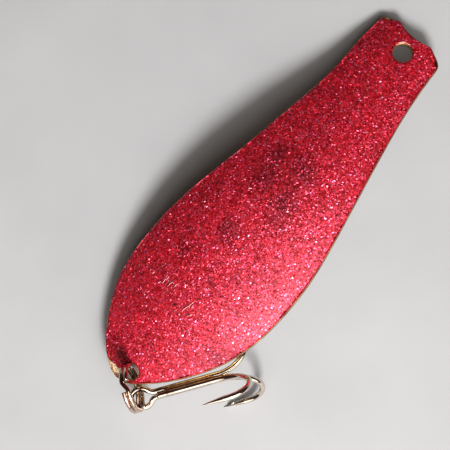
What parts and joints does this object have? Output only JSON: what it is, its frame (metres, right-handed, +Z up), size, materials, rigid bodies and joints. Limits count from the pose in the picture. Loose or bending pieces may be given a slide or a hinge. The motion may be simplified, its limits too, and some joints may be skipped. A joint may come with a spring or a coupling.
{
  "type": "casting spoon fishing lure",
  "caption": "Casting spoon lure with a red glitter blade, a split ring and a treble hook folded back beside the blade.",
  "frame": {"origin": "centre of the line hole at the middle of the sheet, with the lure lying as it rests on a table", "axes": "+X level from the line hole towards the tail, +Y towards the side the treble hook is folded to, +Z up"},
  "size_m": [0.0846, 0.0347, 0.0178],
  "materials": {
    "brass": "stamped, dulled and scratched",
    "red_glitter_lacquer": "glossy lacquer over red glitter",
    "bronzed_ring_wire": "bronzed, semi-gloss",
    "bronzed_hook_wire": "bronzed, semi-gloss",
    "solder": "dull, drawn smooth"
  },
  "bodies": {
    "blade": {"spoon_blade": "brass", "glitter_coat": "red_glitter_lacquer"},
    "ring": {"split_ring": "bronzed_ring_wire"},
    "treble": {"double_hook": "bronzed_hook_wire", "single_hook": "bronzed_hook_wire", "braze": "solder"}
  },
  "joints": [
    {"name": "ring_swing", "type": "hinge", "parent": "blade", "child": "ring", "pos_m": [0.0749, 0, 0.0011], "axis": [-0.2702, 0.183, -0.9453], "range_deg": [0, 50]},
    {"name": "treble_swing", "type": "hinge", "parent": "ring", "child": "treble", "pos_m": [0.07742, 0.00449, 0.00075], "axis": [-0.3208, -0.1598, -0.9336], "range_deg": [0, 150]}
  ]
}
